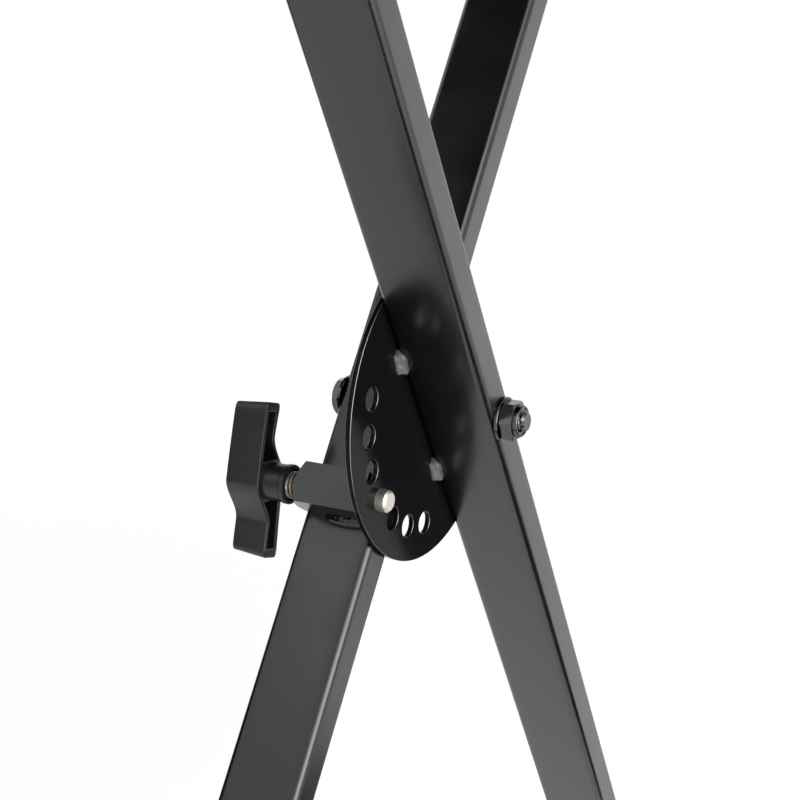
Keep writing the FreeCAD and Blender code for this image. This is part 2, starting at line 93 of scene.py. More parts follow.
def colour_property(name, code, description):
    """A colour of the model, given as an sRGB code and kept linear."""
    return FloatVectorProperty(name=name, description=description, default=linear(code), subtype="COLOR",
                               size=3, min=0, max=1)


class StandLegs(bpy.types.PropertyGroup):
    """Sizes of the two crossed legs."""
    depth: sized("Depth", 30, "Leg tube along the pivot axis")
    width: sized("Width", 15, "Leg tube across the X of the legs")
    corner: sized("Corner", 2.5, "Outside corner radius of the leg tube")
    crown: sized("Crown", 0.5, "How far the wide faces of the tube fall away at their edges")
    narrow_crown: sized("Narrow crown", 0.15, "The same for the narrow faces")
    gap: sized("Gap", 2.5, "Space between the two legs")
    lean: angle_property("Lean", 32.8, "Lean of each leg from upright")
    length: sized("Blank", 1056, "Length of the leg before its ends are cut level")


class StandDisc(bpy.types.PropertyGroup):
    """Sizes of the index disc and its tack welds."""
    radius: sized("Radius", 56.2, "Round edge of the disc")
    thick: sized("Thickness", 2, "Plate of the disc")
    hole: sized("Hole", 8.6, "Diameter of an index hole")
    hole_circle: sized("Hole circle", 43.35, "Radius of the row of holes")
    holes: IntProperty(name="Holes", description="Number of index holes", default=7, min=1)
    pitch: angle_property("Pitch", 17.4, "Angle between two holes")
    edge: sized("Edge", 0.35, "Broken edge of the punched plate")
    tack: sized("Tack", 4, "Radius of a tack weld")
    tack_length: sized("Tack length", 10.5, "Length of a tack weld along the leg")
    tack_high: sized("Upper tack", 30, "Upper tack above the pivot, along the leg")
    tack_low: sized("Lower tack", -24, "Lower tack above the pivot, along the leg")


class StandLock(bpy.types.PropertyGroup):
    """Sizes of the lock sleeve, its screw and its knob."""
    sleeve: sized("Sleeve", 15, "Width of the square sleeve")
    sleeve_start: sized("Sleeve start", 2, "Inner end of the sleeve along Y")
    sleeve_end: sized("Sleeve end", 30, "Outer end of the sleeve along Y")
    sleeve_edge: sized("Sleeve edge", 0.5, "Broken edge of the sleeve")
    turned: sized("Turned end", 2.3, "Length of the turned cone on the sleeve")
    bead: sized("Bead", 3.2, "Radius of a weld bead")
    bead_length: sized("Bead length", 12, "Straight length of a weld bead")
    bead_ripple: sized("Bead ripple", 2.2, "Spacing of the ripples on a weld bead")
    screw: sized("Screw", 10, "Thread diameter")
    play: sized("Play", 0.15, "Room between the screw and its sleeve, all round")
    pitch: sized("Pitch", 1.5, "Thread pitch")
    tip: sized("Tip", 8, "Diameter of the plain tip")
    tip_end: sized("Tip end", -5.25, "Free end of the tip along Y")
    tip_chamfer: sized("Tip chamfer", 0.8, "Chamfer on the tip")
    boss_start: sized("Boss start", 34.6, "Inner end of the knob's boss along Y")
    hub_start: sized("Hub start", 43.9, "Inner face of the knob's hub along Y")
    boss: sized("Boss", 14.5, "Diameter of the knob's boss")
    boss_ring: sized("Boss ring", 2.4, "Length of the thicker ring at the free end of the boss")
    boss_rim: sized("Boss rim", 0.5, "Rounded rim of that ring")
    boss_recess: sized("Boss recess", 1.8, "Depth of the recess round the screw")
    boss_mouth: sized("Boss mouth", 0.8, "Room round the screw in that recess")
    knob_length: sized("Knob length", 57.6, "Length of the knob over both arms")
    knob_hub: sized("Knob hub", 17.4, "Width of the knob at its middle")
    knob_tip: sized("Knob tip", 8.9, "Width of an arm of the knob at its end")
    knob_neck: sized("Knob neck", 1.8, "Distance of the hollow flank from the middle, at its deepest")
    knob_depth: sized("Knob depth", 13.8, "Depth of an arm along Y")
    knob_bow: sized("Knob bow", 0.6, "How far the ends of the arms curve towards the legs")
    knob_swell: sized("Knob swell", 16, "Length of the curve from the hub to the slim flank")
    knob_draft: sized("Knob draft", 1.2, "How much shorter an arm is on its closed side")
    knob_round: sized("Knob round", 3.5, "Length over which the end of an arm is crowned")
    knob_crown: sized("Knob crown", 1.2, "How far the flanks draw in at the end of an arm")
    knob_slant: FloatProperty(name="Knob slant", description="Slope of the end of an arm", default=0.2)
    knob_edge: sized("Knob edge", 0.5, "Broken edge of the knob")
    wall: sized("Wall", 1.8, "Side wall of a hollow arm")
    tilt: angle_property("Tilt", 3, "Turn of the knob from upright")


class StandPivot(bpy.types.PropertyGroup):
    """Sizes of the pivot bolt, its nut and its washers."""
    bolt: sized("Bolt", 8, "Thread diameter")
    pitch: sized("Pitch", 1.25, "Thread pitch")
    flats: sized("Flats", 13, "Width over the flats of the nut and the head")
    head: sized("Head", 3.9, "Height of the bolt's head")
    dome: sized("Dome", 2.4, "Height of the rounded top of the head")
    collar: sized("Collar", 11.6, "Diameter of the nut's collar")
    collar_height: sized("Collar height", 1.8, "Height of the nut's collar")
    collar_round: sized("Collar round", 0.7, "Rounded rim of the nut's collar")
    point: sized("Point", 0.9, "Chamfer on the end of the bolt")
    hexagon_edge: sized("Hexagon edge", 0.12, "Broken edge of the nut and the head")
    play: sized("Play", 0.03, "Room round a ring that turns against its neighbours")
    edge: sized("Edge", 0.15, "Broken edge of a washer")
    bush_chamfer: sized("Bush chamfer", 1.6, "Chamfer at both ends of a bush")


class StandBars(bpy.types.PropertyGroup):
    """Sizes of the foot bars, arms, caps and pads."""
    corner: sized("Corner", 2.5, "Outside corner radius of a bar")
    cap_corner: sized("Cap corner", 3.75, "Corner radius along a cap")
    cap_edge: sized("Cap edge", 1.2, "Rounded rim of a cap")
    bead_round: sized("Bead round", 4, "Corner radius of the bead round a leg end")
    bead_slope: sized("Bead slope", 3.4, "How far that bead draws in from its foot to its top")
    bead_ripple: sized("Bead ripple", 2.4, "Spacing of the ripples on that bead")
    bead_wave: sized("Bead wave", 0.12, "Height of those ripples, up and down")
    lip_thick: sized("Lip thickness", 9, "Stop at the end of an arm, along the arm")
    lip_half: sized("Lip half width", 15, "Half of that stop across the arm")
    lip_round: sized("Lip round", 4, "Corner radius of that stop")
    pad_round: sized("Pad round", 6, "Corner radius of a pad")
    pad_edge: sized("Pad edge", 0.6, "Rounded rim of a pad")
    pad_margin: sized("Pad margin", 3, "Smooth border beside the grooves of a pad")
    ribs: IntProperty(name="Ribs", description="Number of grooves round a cap", default=4, min=0)
    rib: sized("Rib", 4, "Spacing of the ribs on a cap and a pad")
    rib_depth: sized("Rib depth", 0.8, "Depth of the grooves between the ribs")


class StandColours(bpy.types.PropertyGroup):
    """Colours of the finishes."""
    coat: colour_property("Powder coat", "0b0b0b", "Legs, bars and sleeve")
    plate: colour_property("Plate", "0b0b0d", "Index disc")
    weld: colour_property("Weld", "111112", "Painted welds")
    # Tack grey: partly steel under a thin coat, partly a painted highlight
    tack: colour_property("Tack", "5e5f61", "Tack welds of the index disc")
    # Broken disc edges: partly wear, partly painted highlight lines
    edge_wear_and_highlight: colour_property("Edge wear and highlight", "8c8c8e", "Broken edges of the index disc")
    # Brown colour that makes the thread's roots darker and duller than its crests
    thread_root: colour_property("Thread root", "54463a", "Darker roots of the lock screw's thread")
    plastic: colour_property("Plastic", "151618", "Knob")
    rubber: colour_property("Rubber", "191919", "Caps and pads")
    black_zinc: colour_property("Black zinc", "4e4e50", "Bolt, nut and washers")
    nickel: colour_property("Nickel", "e0dbd0", "Lock screw and bushes")
    nylon: colour_property("Nylon", "dcd8cc", "Thrust washer")
    floor: colour_property("Floor", "f4f4f2", "Studio floor")


GROUPS = {
    "stand_legs": StandLegs,
    "stand_disc": StandDisc,
    "stand_lock": StandLock,
    "stand_pivot": StandPivot,
    "stand_bars": StandBars,
    "stand_colours": StandColours,
}


def mode(name):
    """Switches to edit mode or to object mode."""
    bpy.ops.object.mode_set(mode=name)


def begin():
    """Leaves edit mode and clears the selection, so that an operator meets only its own piece."""
    if bpy.context.mode != "OBJECT":
        mode("OBJECT")
    bpy.ops.object.select_all(action="DESELECT")


def pick(piece):
    """Makes one piece the only selected and the active one."""
    begin()
    piece.select_set(True)
    bpy.context.view_layer.objects.active = piece
    return piece


def settle(name):
    """Names the piece just added and puts its place into its mesh."""
    piece = bpy.context.object
    piece.name = name
    piece.data.name = name
    bpy.ops.object.transform_apply(location=True, rotation=True, scale=True)
    return piece


def block(name, low, high):
    """A block between two corners."""
    begin()
    low, high = Vector(low), Vector(high)
    bpy.ops.mesh.primitive_cube_add(size=1, location=(low + high) / 2, scale=high - low)
    return settle(name)


def drum(name, radius, start, end, x=0, z=0, sides=SIDES):
    """A cylinder along Y."""
    begin()
    bpy.ops.mesh.primitive_cylinder_add(vertices=sides, radius=radius, depth=end - start,
                                        location=(x, (start + end) / 2, z), rotation=(pi / 2, 0, 0))
    return settle(name)


def grid(name, columns, rows):
    """A flat grid to be shaped, and its points with their share of the way across and their row."""
    begin()
    bpy.ops.mesh.primitive_grid_add(x_subdivisions=columns, y_subdivisions=rows, size=2)
    piece = settle(name)
    points = [(vertex, (vertex.co.x + 1) / 2, round((vertex.co.y + 1) / 2 * rows))
              for vertex in piece.data.vertices]
    return piece, points


def turned(name, profile, groove=None):
    """A turned piece about Y from (y, radius) rows; groove is a thread's pitch, depth, start and end."""
    piece, points = grid(name, SIDES, len(profile) - 1)
    for vertex, share, row in points:
        along, radius = profile[row]
        if groove and groove[2] <= along <= groove[3]:
            phase = (along / groove[0] + share) % 1
            radius -= groove[1] * min(1, FLANK * abs(2 * phase - 1))
        vertex.co = (radius * cos(tau * share), along, radius * sin(tau * share))
    tidy(piece)
    return piece


def thread_rows(start, end, pitch, radius):
    """Rows of a turned profile that are close enough to carry a thread."""
    count = round((end - start) / pitch * ROWS_PER_PITCH)
    return [(start + (end - start) * row / count, radius) for row in range(count + 1)]


def tidy(piece):
    """Merges doubled points and turns the faces outwards."""
    pick(piece)
    mode("EDIT")
    bpy.ops.mesh.select_all(action="SELECT")
    bpy.ops.mesh.remove_doubles(threshold=TOUCH)
    bpy.ops.mesh.normals_make_consistent(inside=False)
    mode("OBJECT")


def modify(piece, kind, **settings):
    """Adds a modifier with its settings and applies it."""
    pick(piece)
    modifier = piece.modifiers.new(kind.lower(), kind)
    for name, value in settings.items():
        setattr(modifier, name, value)
    bpy.ops.object.modifier_apply(modifier=modifier.name)


def carve(piece, tool, operation="DIFFERENCE"):
    """Cuts, joins or intersects a piece with a tool, and removes the tool."""
    modify(piece, "BOOLEAN", operation=operation, object=tool, solver="EXACT")
    bpy.data.objects.remove(tool)


def together(pieces):
    """Joins several pieces into the first one."""
    pick(pieces[0])
    for piece in pieces:
        piece.select_set(True)
    bpy.ops.object.join()
    return pieces[0]


def cut_away(piece, point, normal):
    """Cuts off the side of a piece that the normal points to, and closes the cut."""
    pick(piece)
    mode("EDIT")
    bpy.ops.mesh.select_all(action="SELECT")
    bpy.ops.mesh.bisect(plane_co=point, plane_no=normal, use_fill=True, clear_outer=True)
    mode("OBJECT")


def bevel_edges(piece, direction, radius, segments):
    """Rounds the straight edges that run along one direction."""
    pick(piece)
    mesh = piece.data
    mode("EDIT")
    bpy.ops.mesh.select_all(action="DESELECT")
    bpy.ops.mesh.select_mode(type="EDGE")
    mode("OBJECT")
    for edge in mesh.edges:
        span = mesh.vertices[edge.vertices[1]].co - mesh.vertices[edge.vertices[0]].co
        edge.select = abs(span.normalized().dot(direction)) > ALIGNED
    mode("EDIT")
    bpy.ops.mesh.bevel(offset=radius, segments=segments, profile=0.5)
    mode("OBJECT")


def break_edges(piece, width, segments=2, angle=30):
    """Breaks every sharp edge of a piece."""
    modify(piece, "BEVEL", width=width, segments=segments, limit_method="ANGLE", angle_limit=radians(angle))


def smooth(piece, angle=35):
    """Smooth shading, with the sharp edges kept and the large faces left flat."""
    pick(piece)
    bpy.ops.object.shade_smooth_by_angle(angle=radians(angle))
    modify(piece, "WEIGHTED_NORMAL", keep_sharp=True)


def copy_of(piece, name):
    """A copy of a piece with its own mesh."""
    pick(piece)
    bpy.ops.object.duplicate(linked=False)
    twin = bpy.context.object
    twin.name = name
    twin.data.name = name
    return twin


def shift(piece, matrix):
    """Moves a piece's mesh by a matrix."""
    pick(piece)
    piece.matrix_world = matrix
    bpy.ops.object.transform_apply(location=True, rotation=True, scale=True)


def round_outline(share, half_x, half_y, corner):
    """A point on a round-cornered rectangle, by its share of the way round."""
    way = share * 4 * (half_x + half_y)
    sides = ((half_x, -half_y, 0, 1, 2 * half_y), (half_x, half_y, -1, 0, 2 * half_x),
             (-half_x, half_y, 0, -1, 2 * half_y), (-half_x, -half_y, 1, 0, 2 * half_x))
    for x, y, step_x, step_y, length in sides:
        if way <= length:
            break
        way -= length
    point = Vector((x + step_x * min(way, length), y + step_y * min(way, length)))
    core = Vector((min(max(point.x, corner - half_x), half_x - corner),
                   min(max(point.y, corner - half_y), half_y - corner)))
    return core + (point - core).normalized() * corner


def lean_matrix(leg):
    """From an upright leg with the pivot at the origin to the leaning leg."""
    lean = LEAN_SIGN[leg] * bpy.context.scene.stand_legs.lean
    return Matrix.Translation(PIVOT) @ Matrix.Rotation(lean, 4, "Y")


def give(piece, body, finish, *nodes):
    """Finishes a piece: its body, the nodes that it stands for and its material."""
    smooth(piece)
    piece.data.materials.clear()
    piece.data.materials.append(bpy.data.materials[FINISHES[finish]])
    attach(piece, body)
    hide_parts(*nodes)


# Tack welds: their grey is partly a thin coat over steel, partly a painted highlight
TACK_THIN_COAT_AND_HIGHLIGHT = "Weld_tack_thinly_coated"
# Broken disc edges: bright steel colour, partly wear and partly a painted highlight
EDGE_WEAR_AND_HIGHLIGHT = "Steel_punched_edge_wear_and_painted_highlight"
# Thread roots: a darker, browner and duller finish than the crests
DARK_THREAD_ROOT = "Steel_thread_root_darkened"
FINISHES = {
    "black_powder_coat": "Polyester_powder_coat_baked",
    "painted_weld": "Weld_bead_powder_coated",
    "black_rubber": "Rubber_moulded",
    "bright_plated_steel": "Steel_nickel_plated",
    "black_plated_steel": "Steel_black_zinc_plated",
    "black_painted_plate": "Steel_plate_gloss_enamelled",
    "white_nylon": "Nylon_punched_natural",
    "black_moulded_plastic": "Plastic_injection_moulded_satin",
}


def blank(materials, name):
    """A new material or world with an empty node tree."""
    made = materials.new(name)
    made.use_nodes = True
    made.node_tree.nodes.clear()
    return made, made.node_tree


def wire(tree, kind, inputs, **settings):
    """Adds a node, sets its properties and its inputs; an input may be a value or another node's socket."""
    made = tree.nodes.new(kind)
    for name, value in settings.items():
        setattr(made, name, value)
    for name, value in inputs.items():
        if isinstance(value, bpy.types.NodeSocket):
            tree.links.new(value, made.inputs[name])
        else:
            made.inputs[name].default_value = value
    return made


CLOUD = 25 * MM                 # Width of the soft patches in a finish
NOISE_LOW, NOISE_HIGH = 0.35, 0.65   # Most of a noise lies between these
FAINT = 0.01                    # Keeps the patches visible on a black


def finish(name, colour, roughness, spread, grain, height, metallic=0, mottle=0.12, stretch=(1, 1, 1),
           ior=1.5):
    """A procedural finish: grain in metres drives the bump, a wider noise drives colour and gloss.

    roughness runs from roughness to roughness + spread; height is the depth of the grain in metres.
    """
    _, tree = blank(bpy.data.materials, name)
    place = wire(tree, "ShaderNodeTexCoord", {}).outputs["Object"]
    drawn = wire(tree, "ShaderNodeMapping", {"Vector": place, "Scale": stretch}).outputs["Vector"]
    fine = wire(tree, "ShaderNodeTexNoise", {"Vector": drawn, "Scale": 1 / grain, "Detail": 2})
    wide = wire(tree, "ShaderNodeTexNoise", {"Vector": drawn, "Scale": 1 / CLOUD, "Detail": 3})
    gloss = wire(tree, "ShaderNodeMapRange", {
        "Value": wide.outputs["Fac"], "From Min": NOISE_LOW, "From Max": NOISE_HIGH, "To Min": roughness,
        "To Max": roughness + spread})
    paler = [min(1, value * (1 + mottle) + mottle * FAINT) for value in colour]
    tone = wire(tree, "ShaderNodeMix", {"Factor": wide.outputs["Fac"], "A": (*colour, 1), "B": (*paler, 1)},
                data_type="RGBA")
    bump = wire(tree, "ShaderNodeBump", {"Height": fine.outputs["Fac"], "Distance": height, "Strength": 1})
    shader = wire(tree, "ShaderNodeBsdfPrincipled", {
        "Base Color": tone.outputs["Result"], "Roughness": gloss.outputs["Result"], "Metallic": metallic,
        "Normal": bump.outputs["Normal"], "IOR": ior})
    wire(tree, "ShaderNodeOutputMaterial", {"Surface": shader.outputs["BSDF"]})


class STAND_OT_finishes(bpy.types.Operator):
    """Makes the materials and gives them to the CAD nodes"""
    bl_idname = "stand.finishes"
    bl_label = "Finishes"

    def execute(self, context):
        colours = context.scene.stand_colours
        # Baked powder: an even satin film with orange peel about 1.5 mm wide, so highlights have a soft edge
        finish(FINISHES["black_powder_coat"], colours.coat, roughness=0.2, spread=0.06, grain=1.5 * MM,
               height=0.002 * MM, ior=1.6)
        # The same film over a weld: it runs thinner and glossier there, and lumps of the bead show through
        finish(FINISHES["painted_weld"], colours.weld, roughness=0.16, spread=0.08, grain=1.6 * MM,
               height=0.08 * MM)
        # A tack under a thin film: steel shows through in part, and its grey is made lighter still as a
        # painted highlight, so it stays bright where the rest is black
        finish(TACK_THIN_COAT_AND_HIGHLIGHT, colours.tack, roughness=0.3, spread=0.1, grain=1.6 * MM, height=0.12 * MM,
               metallic=0.35, mottle=0.4)
        # Punched edges: partly worn where steel shows, and given a bright steel colour as painted highlight
        # lines along the hole edges and the rim, so they glint
        finish(EDGE_WEAR_AND_HIGHLIGHT, colours.edge_wear_and_highlight, roughness=0.22, spread=0.12, grain=0.7 * MM, height=0.01 * MM,
               metallic=1, mottle=0.3)
        # Thread roots: the plating is made brown, darker and duller there, so the crests stand out
        finish(DARK_THREAD_ROOT, colours.thread_root, roughness=0.4, spread=0.15, grain=0.5 * MM,
               height=0.005 * MM, metallic=0.6, mottle=0.3)
        # Rubber from a blasted mould: matt, with a fine tooth and a faint bloom
        finish(FINISHES["black_rubber"], colours.rubber, roughness=0.62, spread=0.14, grain=0.6 * MM,
               height=0.02 * MM, mottle=0.4)
        # Nickel on a turned screw: soft warm reflections, and faint tool marks round the axis
        finish(FINISHES["bright_plated_steel"], colours.nickel, roughness=0.42, spread=0.08, grain=0.5 * MM,
               height=0.001 * MM, metallic=1, mottle=0.04, stretch=(0.1, 3, 0.1))
        # Black zinc: a dark metal that mirrors the room, slightly cloudy from the passivation
        finish(FINISHES["black_plated_steel"], colours.black_zinc, roughness=0.12, spread=0.12,
               grain=0.8 * MM, height=0.003 * MM, metallic=1, mottle=0.3)
        # Gloss enamel on flat plate: deep black with a slow waviness that bends reflections
        finish(FINISHES["black_painted_plate"], colours.plate, roughness=0.12, spread=0.05, grain=5 * MM,
               height=0.004 * MM, ior=1.16)
        # Punched nylon: milky and slightly waxy
        finish(FINISHES["white_nylon"], colours.nylon, roughness=0.45, spread=0.1, grain=0.8 * MM,
               height=0.004 * MM, mottle=0.05)
        # Moulded plastic from a spark-eroded tool: satin grain, drawn at 0.5 mm so that it still shows
        finish(FINISHES["black_moulded_plastic"], colours.plastic, roughness=0.28, spread=0.08,
               grain=0.5 * MM, height=0.004 * MM)
        for node in frame["nodes"].values():
            for place in node.material_slots:
                slot_name = place.material.name.split(".")[0]
                place.material = bpy.data.materials[FINISHES[slot_name]]
        return {"FINISHED"}


class STAND_OT_legs(bpy.types.Operator):
    """Models a leg once, with round corners, and cuts both legs level at their ends"""
    bl_idname = "stand.legs"
    bl_label = "Legs"

    def execute(self, context):
        legs = context.scene.stand_legs
        front = self.tube("front_leg_skin", legs)
        rear = copy_of(front, "rear_leg_skin")
        middle = (legs.gap + legs.depth) / 2
        shift(front, Matrix.Translation((0, -middle, 0)))
        shift(rear, Matrix.Translation((0, middle, 0)))
        for leg, piece in (("front", front), ("rear", rear)):
            shift(piece, lean_matrix(leg))
            low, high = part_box(f"{leg}_leg_tube")
            cut_away(piece, low, (0, 0, -1))
            cut_away(piece, high, (0, 0, 1))
            tidy(piece)
            give(piece, f"{leg}_leg", "black_powder_coat", f"{leg}_leg_tube")
        return {"FINISHED"}

    def tube(self, name, legs):
        """A blank of round-cornered tube, open at its ends, its faces a little crowned from the rolls."""
        piece, points = grid(name, 3 * SIDES, 1)
        half_x, half_y = legs.width / 2, legs.depth / 2
        for vertex, share, row in points:
            across, along = round_outline(share, half_x, half_y, legs.corner)
            # The fourth power keeps the middle of a face flat
            vertex.co = (across - legs.crown * (along / half_y) ** 4 * across / half_x,
                         along - legs.narrow_crown * (across / half_x) ** 4 * along / half_y,
                         (row - 0.5) * legs.length)
        tidy(piece)
        return piece


class STAND_OT_disc(bpy.types.Operator):
    """Models the index disc with its holes, and the two tack welds that hold it"""
    bl_idname = "stand.disc"
    bl_label = "Index disc"
    REACH = 0.6           # How far a tack goes into the leg, as a share of the leg's corner
    SLANT = (0.2, 0.95)   # How much a face of a broken edge looks along the pivot axis
    FLAT = -0.75          # Where the outer side of a tack is flattened, as a share of its radius

    def execute(self, context):
        legs, disc, lock = context.scene.stand_legs, context.scene.stand_disc, context.scene.stand_lock
        face = -legs.gap / 2
        plate = drum("index_disc_skin", disc.radius, face, face + disc.thick, sides=3 * SIDES)
        cut_away(plate, (legs.width / 2, 0, 0), (1, 0, 0))
        pin_angle = asin((legs.width + lock.sleeve) / 2 / disc.hole_circle)
        first = 2 * legs.lean + pin_angle - (disc.holes - 1) / 2 * disc.pitch
        angles = [first + index * disc.pitch for index in range(disc.holes)]
        middles = [-disc.hole_circle * Vector((sin(angle), 0, cos(angle))) for angle in angles]
        holes = [drum("hole", disc.hole / 2, face - disc.thick, face + 2 * disc.thick, middle.x, middle.z)
                 for middle in middles]
        carve(plate, together(holes))
        break_edges(plate, disc.edge, 3)
        # Faces of the broken edges of the holes and the rim, which get the painted highlight colour
        highlit_edges = [face.index for face in plate.data.polygons if self.on_an_edge(face, middles, disc)]
        shift(plate, lean_matrix("front"))
        give(plate, "front_leg", "black_painted_plate", "index_disc")
        # A second material: bright steel on those edges, partly wear and partly a painted highlight
        plate.data.materials.append(bpy.data.materials[EDGE_WEAR_AND_HIGHLIGHT])
        for index in highlit_edges:
            plate.data.polygons[index].material_index = 1
        for level, height in (("upper", disc.tack_high), ("lower", disc.tack_low)):
            tack = self.bead(f"disc_tack_{level}_skin", disc, (-legs.width / 2, face, height))
            cut_away(tack, (0, face, 0), (0, 1, 0))
            cut_away(tack, (self.REACH * legs.corner - legs.width / 2, 0, 0), (1, 0, 0))
            shift(tack, lean_matrix("front"))
            give(tack, "front_leg", "painted_weld", f"disc_tack_{level}")
            # The tack gets the grey material whose brightness is partly a painted highlight
            tack.data.materials[0] = bpy.data.materials[TACK_THIN_COAT_AND_HIGHLIGHT]
        return {"FINISHED"}

    def on_an_edge(self, face, middles, disc):
        """Whether a face is part of the broken edge of an index hole or of the disc's rim."""
        flat = Vector((face.center.x, 0, face.center.z))
        near = min((flat - middle).length for middle in middles)
        round_edge = near < disc.hole / 2 + disc.edge or flat.length > disc.radius - disc.edge
        return self.SLANT[0] < abs(face.normal.y) < self.SLANT[1] and round_edge

    def bead(self, name, disc, centre):
        """A flattened blob of weld: longer along the leg, lumpy, and wider at its lower end."""
        begin()
        bpy.ops.mesh.primitive_ico_sphere_add(subdivisions=5, radius=1)
        piece = settle(name)
        for vertex in piece.data.vertices:
            x, y, z = vertex.co
            wide = disc.tack * (0.86 - 0.14 * z)
            flat = max(self.FLAT, y)
            lump = 1 + 0.07 * sin(5 * z + 3 * x) + 0.05 * cos(7 * x - 4 * y)
            vertex.co = Vector((x * wide, flat * disc.tack, z * disc.tack_length / 2)) * lump
            vertex.co += Vector(centre)
        return piece


class STAND_OT_lock_sleeve(bpy.types.Operator):
    """Models the tapped square sleeve with its turned end, and its two weld beads"""
    bl_idname = "stand.lock_sleeve"
    bl_label = "Lock sleeve"
    RIPPLE = 0.05   # Height of the ripples on a bead, as a share of its radius

    def execute(self, context):
        legs, disc, lock = context.scene.stand_legs, context.scene.stand_disc, context.scene.stand_lock
        offset = (legs.width + lock.sleeve) / 2
        drop = sqrt(disc.hole_circle ** 2 - offset ** 2)
        half = lock.sleeve / 2
        start, end = lock.sleeve_start, lock.sleeve_end
        sleeve = block("lock_sleeve_skin", (-offset - half, start, -drop - half),
                       (half - offset, end, half - drop))
        slope = half * (sqrt(2) - 1) / lock.turned
        begin()
        bpy.ops.mesh.primitive_cone_add(vertices=2 * SIDES, depth=end - start, radius1=half,
                                        radius2=half + slope * (end - start), rotation=(pi / 2, 0, 0),
                                        location=(-offset, (start + end) / 2, -drop))
        carve(sleeve, settle("cone"), "INTERSECT")
        carve(sleeve, drum("bore", lock.screw / 2 + lock.play, start - half, end + half, -offset, -drop))
        break_edges(sleeve, lock.sleeve_edge, 3, 25)
        shift(sleeve, lean_matrix("rear"))
        give(sleeve, "rear_leg", "black_powder_coat", "lock_sleeve")
        bead_start = legs.gap / 2 + legs.corner + lock.bead
        for level, side in (("upper", 1), ("lower", -1)):
            corner = Vector((-legs.width / 2, bead_start + lock.bead_length / 2, side * half - drop))
            begin()
            length = lock.bead_length / 2 + lock.bead
            bpy.ops.mesh.primitive_ico_sphere_add(subdivisions=4, radius=lock.bead, location=corner,
                                                  scale=(1, length / lock.bead, 1))
            bead = settle(f"sleeve_weld_{level}_skin")
            for vertex in bead.data.vertices:
                wave = 1 - self.RIPPLE * (1 + sin(tau * vertex.co.y / lock.bead_ripple))
                vertex.co.x = corner.x + (vertex.co.x - corner.x) * wave
                vertex.co.z = corner.z + (vertex.co.z - corner.z) * wave
            cut_away(bead, corner, (1, 0, 0))
            cut_away(bead, corner, (0, 0, -side))
            shift(bead, lean_matrix("rear"))
            give(bead, "rear_leg", "painted_weld", f"sleeve_weld_{level}")
        return {"FINISHED"}


class STAND_OT_lock_screw(bpy.types.Operator):
    """Turns the lock screw, with its chamfered tip and its thread"""
    bl_idname = "stand.lock_screw"
    bl_label = "Lock screw"
    DEPTH = 0.6        # Depth of the thread, as a share of its pitch
    HIDDEN_TURNS = 4   # Turns of thread that are modelled inside the sleeve

    def in_a_root(self, face, radius, groove):
        """Whether a face lies low in the thread, where the finish is made darker."""
        away = Vector((face.center.x, face.center.z)).length
        return groove[2] < face.center.y < groove[3] and away < radius

    def execute(self, context):
        lock = context.scene.stand_lock
        tip, major = lock.tip / 2, lock.screw / 2
        chamfer = lock.tip_chamfer
        shoulder = lock.sleeve_start + chamfer
        runout = lock.sleeve_end - self.HIDDEN_TURNS * lock.pitch
        rows = [(lock.tip_end, 0), (lock.tip_end, tip - chamfer), (lock.tip_end + chamfer, tip),
                (shoulder, tip), (shoulder, major), (runout, major)]
        rows += thread_rows(runout, lock.boss_start, lock.pitch, major)
        rows += [(lock.boss_start, tip), (lock.hub_start, tip), (lock.hub_start, 0)]
        groove = (lock.pitch, self.DEPTH * lock.pitch, runout + TOUCH, lock.boss_start - TOUCH)
        screw = turned("lock_screw_skin", rows, groove)
        half_way = major - groove[1] / 2
        # Faces low in the thread, which get the darker root finish
        roots = [face.index for face in screw.data.polygons if self.in_a_root(face, half_way, groove)]
        shift(screw, Matrix.Translation(Vector((PIN.x, 0, PIN.z))))
        give(screw, "lock_screw", "bright_plated_steel", "lock_screw")
        # A second material: darker, browner and duller plating in the thread's roots
        screw.data.materials.append(bpy.data.materials[DARK_THREAD_ROOT])
        for index in roots:
            screw.data.polygons[index].material_index = 1
        return {"FINISHED"}


